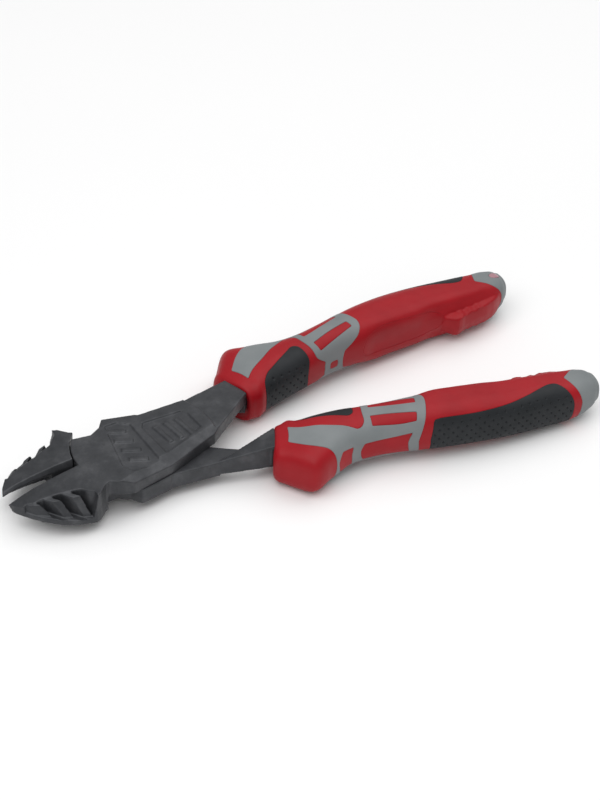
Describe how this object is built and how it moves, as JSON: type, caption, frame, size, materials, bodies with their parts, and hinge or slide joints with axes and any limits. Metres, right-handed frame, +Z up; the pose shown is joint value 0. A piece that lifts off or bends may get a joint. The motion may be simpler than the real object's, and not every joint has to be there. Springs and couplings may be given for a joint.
{
  "type": "diagonal cutting pliers",
  "caption": "lap-jointed diagonal cutting pliers with blackened steel head, ribbed jaw backs and red, grey and black moulded grips, lying slightly open",
  "frame": {"origin": "middle of the tool's length and width, at the height of the surface it lies on", "axes": "+X runs along the tool from the jaw tips to the ends of the handles, +Y points to the right handle, which belongs to the top lever, and +Z points up along the pivot axis"},
  "size_m": [0.1999, 0.0754, 0.0196],
  "materials": {
    "head_steel": "blackened, fine blasted, satin",
    "rivet_steel": "blackened, turned",
    "red_grip": "satin moulded",
    "grey_grip": "matt moulded",
    "black_pad": "matt, dimpled",
    "badge": "gloss"
  },
  "bodies": {
    "top_half": {"top_lever": "head_steel", "pivot_rivet": "rivet_steel", "right_sleeve": "red_grip", "right_lattice": "grey_grip", "right_inner_pad": "black_pad", "right_palm_pad": "black_pad", "right_end_cap": "grey_grip", "right_end_badge": "badge"},
    "bottom_half": {"bottom_lever": "head_steel", "left_sleeve": "red_grip", "left_lattice": "grey_grip", "left_inner_pad": "black_pad", "left_palm_pad": "black_pad", "left_end_cap": "grey_grip"}
  },
  "joints": [
    {"name": "jaw_pivot", "type": "hinge", "parent": "top_half", "child": "bottom_half", "pos_m": [-0.05583, 0, 0.0097], "axis": [0, 0, -1], "range_deg": [-5.8, 26]}
  ]
}
